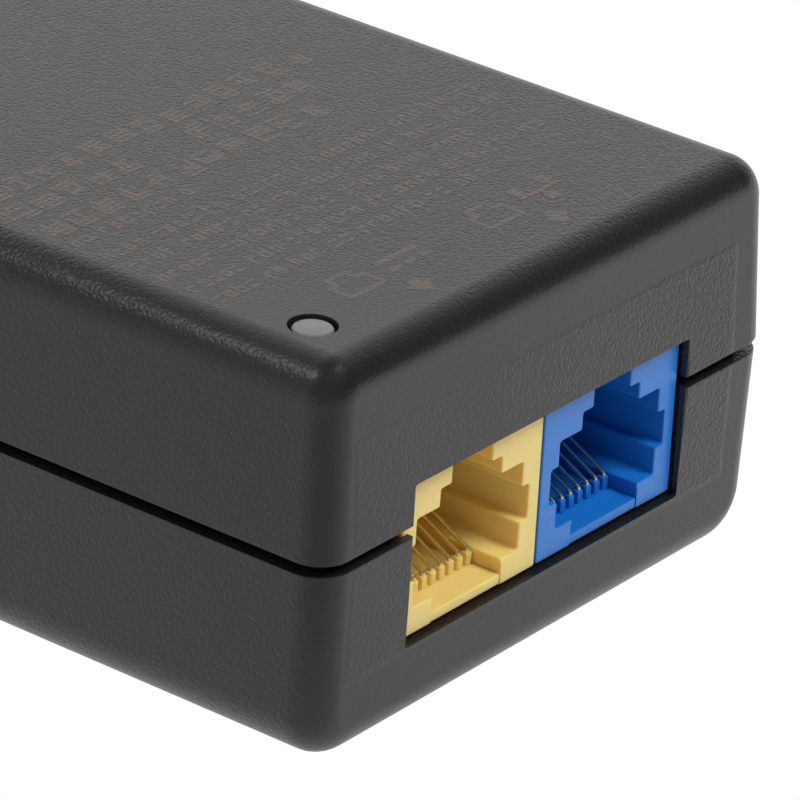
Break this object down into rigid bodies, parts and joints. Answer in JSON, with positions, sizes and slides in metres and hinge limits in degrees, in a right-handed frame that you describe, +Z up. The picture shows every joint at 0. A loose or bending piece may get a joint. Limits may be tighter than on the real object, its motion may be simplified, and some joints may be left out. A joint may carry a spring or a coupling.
{
  "type": "poe injector",
  "caption": "Mains-powered network power injector: two-shell black case, yellow and blue jacks in one end, mains inlet in the other, status lamp on top.",
  "frame": {"origin": "middle of the flat underside", "axes": "+X across the port face, to the right when facing the jacks; +Y from the jacks to the mains inlet; +Z up"},
  "size_m": [0.0516, 0.1, 0.0302],
  "materials": {
    "case_black": "fine pebble grain, satin black ABS",
    "jack_yellow": "smooth moulded, soft warm yellow",
    "jack_blue": "smooth moulded, clear blue",
    "contact_gold": "gold-flashed spring wire",
    "lamp": "grey translucent resin, unlit",
    "screw": "blackened steel",
    "label": "satin silver film, blank",
    "inlet_black": "smooth black thermoplastic",
    "inlet_pin": "nickel-plated brass",
    "board": "green solder mask",
    "ceramic_part": "white ceramic tube",
    "disc_part": "dipped blue epoxy",
    "box_capacitor": "moulded yellow box",
    "chip": "moulded black epoxy",
    "can_sleeve": "shrink sleeve on an aluminium can",
    "ferrite": "bare grey-black ferrite",
    "copper": "enamelled copper wire",
    "winding_tape": "yellow polyester tape",
    "heatsink": "bare sheet aluminium"
  },
  "bodies": {
    "case": {"top_shell": "case_black", "bottom_shell": "case_black", "rating_label": "label", "status_lamp": "lamp", "case_screw_1": "screw", "case_screw_2": "screw", "case_screw_3": "screw", "case_screw_4": "screw", "board_screw_1": "screw", "board_screw_2": "screw", "poe_jack_housing": "jack_yellow", "poe_contact_carrier": "jack_yellow", "lan_jack_housing": "jack_blue", "lan_contact_carrier": "jack_blue", "ac_inlet_body": "inlet_black", "inlet_pin_line": "inlet_pin", "inlet_pin_neutral": "inlet_pin", "inlet_pin_earth": "inlet_pin", "main_board": "board", "mains_fuse": "ceramic_part", "surge_varistor": "disc_part", "y_capacitor": "disc_part", "x_capacitor": "box_capacitor", "bridge_rectifier": "chip", "optocoupler": "chip", "controller_chip": "chip", "switching_transistor": "chip", "output_rectifier": "chip", "bulk_capacitor": "can_sleeve", "output_capacitor_1": "can_sleeve", "output_capacitor_2": "can_sleeve", "choke_core": "ferrite", "transformer_core": "ferrite", "choke_winding_line": "copper", "choke_winding_neutral": "copper", "transformer_winding": "winding_tape", "primary_heatsink": "heatsink"},
    "poe_arm_1": {"poe_contact_1": "contact_gold"},
    "poe_arm_2": {"poe_contact_2": "contact_gold"},
    "poe_arm_3": {"poe_contact_3": "contact_gold"},
    "poe_arm_4": {"poe_contact_4": "contact_gold"},
    "poe_arm_5": {"poe_contact_5": "contact_gold"},
    "poe_arm_6": {"poe_contact_6": "contact_gold"},
    "poe_arm_7": {"poe_contact_7": "contact_gold"},
    "poe_arm_8": {"poe_contact_8": "contact_gold"},
    "lan_arm_1": {"lan_contact_1": "contact_gold"},
    "lan_arm_2": {"lan_contact_2": "contact_gold"},
    "lan_arm_3": {"lan_contact_3": "contact_gold"},
    "lan_arm_4": {"lan_contact_4": "contact_gold"},
    "lan_arm_5": {"lan_contact_5": "contact_gold"},
    "lan_arm_6": {"lan_contact_6": "contact_gold"},
    "lan_arm_7": {"lan_contact_7": "contact_gold"},
    "lan_arm_8": {"lan_contact_8": "contact_gold"}
  },
  "joints": [
    {"name": "poe_arm_1_flex", "type": "hinge", "parent": "case", "child": "poe_arm_1", "pos_m": [-0.01203, -0.04635, 0.0087], "axis": [-1, 0, 0], "range_deg": [0, 15]},
    {"name": "poe_arm_2_flex", "type": "hinge", "parent": "case", "child": "poe_arm_2", "pos_m": [-0.01102, -0.04635, 0.0087], "axis": [-1, 0, 0], "range_deg": [0, 15]},
    {"name": "poe_arm_3_flex", "type": "hinge", "parent": "case", "child": "poe_arm_3", "pos_m": [-0.01, -0.04635, 0.0087], "axis": [-1, 0, 0], "range_deg": [0, 15]},
    {"name": "poe_arm_4_flex", "type": "hinge", "parent": "case", "child": "poe_arm_4", "pos_m": [-0.00898, -0.04635, 0.0087], "axis": [-1, 0, 0], "range_deg": [0, 15]},
    {"name": "poe_arm_5_flex", "type": "hinge", "parent": "case", "child": "poe_arm_5", "pos_m": [-0.00797, -0.04635, 0.0087], "axis": [-1, 0, 0], "range_deg": [0, 15]},
    {"name": "poe_arm_6_flex", "type": "hinge", "parent": "case", "child": "poe_arm_6", "pos_m": [-0.00695, -0.04635, 0.0087], "axis": [-1, 0, 0], "range_deg": [0, 15]},
    {"name": "poe_arm_7_flex", "type": "hinge", "parent": "case", "child": "poe_arm_7", "pos_m": [-0.00594, -0.04635, 0.0087], "axis": [-1, 0, 0], "range_deg": [0, 15]},
    {"name": "poe_arm_8_flex", "type": "hinge", "parent": "case", "child": "poe_arm_8", "pos_m": [-0.00492, -0.04635, 0.0087], "axis": [-1, 0, 0], "range_deg": [0, 15]},
    {"name": "lan_arm_1_flex", "type": "hinge", "parent": "case", "child": "lan_arm_1", "pos_m": [0.00402, -0.04635, 0.0087], "axis": [-1, 0, 0], "range_deg": [0, 15]},
    {"name": "lan_arm_2_flex", "type": "hinge", "parent": "case", "child": "lan_arm_2", "pos_m": [0.00504, -0.04635, 0.0087], "axis": [-1, 0, 0], "range_deg": [0, 15]},
    {"name": "lan_arm_3_flex", "type": "hinge", "parent": "case", "child": "lan_arm_3", "pos_m": [0.00605, -0.04635, 0.0087], "axis": [-1, 0, 0], "range_deg": [0, 15]},
    {"name": "lan_arm_4_flex", "type": "hinge", "parent": "case", "child": "lan_arm_4", "pos_m": [0.00707, -0.04635, 0.0087], "axis": [-1, 0, 0], "range_deg": [0, 15]},
    {"name": "lan_arm_5_flex", "type": "hinge", "parent": "case", "child": "lan_arm_5", "pos_m": [0.00808, -0.04635, 0.0087], "axis": [-1, 0, 0], "range_deg": [0, 15]},
    {"name": "lan_arm_6_flex", "type": "hinge", "parent": "case", "child": "lan_arm_6", "pos_m": [0.0091, -0.04635, 0.0087], "axis": [-1, 0, 0], "range_deg": [0, 15]},
    {"name": "lan_arm_7_flex", "type": "hinge", "parent": "case", "child": "lan_arm_7", "pos_m": [0.01012, -0.04635, 0.0087], "axis": [-1, 0, 0], "range_deg": [0, 15]},
    {"name": "lan_arm_8_flex", "type": "hinge", "parent": "case", "child": "lan_arm_8", "pos_m": [0.01113, -0.04635, 0.0087], "axis": [-1, 0, 0], "range_deg": [0, 15]}
  ],
  "couplings": [
    {"joint": "poe_arm_2_flex", "follows": "poe_arm_1_flex", "ratio": 1},
    {"joint": "poe_arm_3_flex", "follows": "poe_arm_1_flex", "ratio": 1},
    {"joint": "poe_arm_4_flex", "follows": "poe_arm_1_flex", "ratio": 1},
    {"joint": "poe_arm_5_flex", "follows": "poe_arm_1_flex", "ratio": 1},
    {"joint": "poe_arm_6_flex", "follows": "poe_arm_1_flex", "ratio": 1},
    {"joint": "poe_arm_7_flex", "follows": "poe_arm_1_flex", "ratio": 1},
    {"joint": "poe_arm_8_flex", "follows": "poe_arm_1_flex", "ratio": 1},
    {"joint": "lan_arm_2_flex", "follows": "lan_arm_1_flex", "ratio": 1},
    {"joint": "lan_arm_3_flex", "follows": "lan_arm_1_flex", "ratio": 1},
    {"joint": "lan_arm_4_flex", "follows": "lan_arm_1_flex", "ratio": 1},
    {"joint": "lan_arm_5_flex", "follows": "lan_arm_1_flex", "ratio": 1},
    {"joint": "lan_arm_6_flex", "follows": "lan_arm_1_flex", "ratio": 1},
    {"joint": "lan_arm_7_flex", "follows": "lan_arm_1_flex", "ratio": 1},
    {"joint": "lan_arm_8_flex", "follows": "lan_arm_1_flex", "ratio": 1}
  ]
}
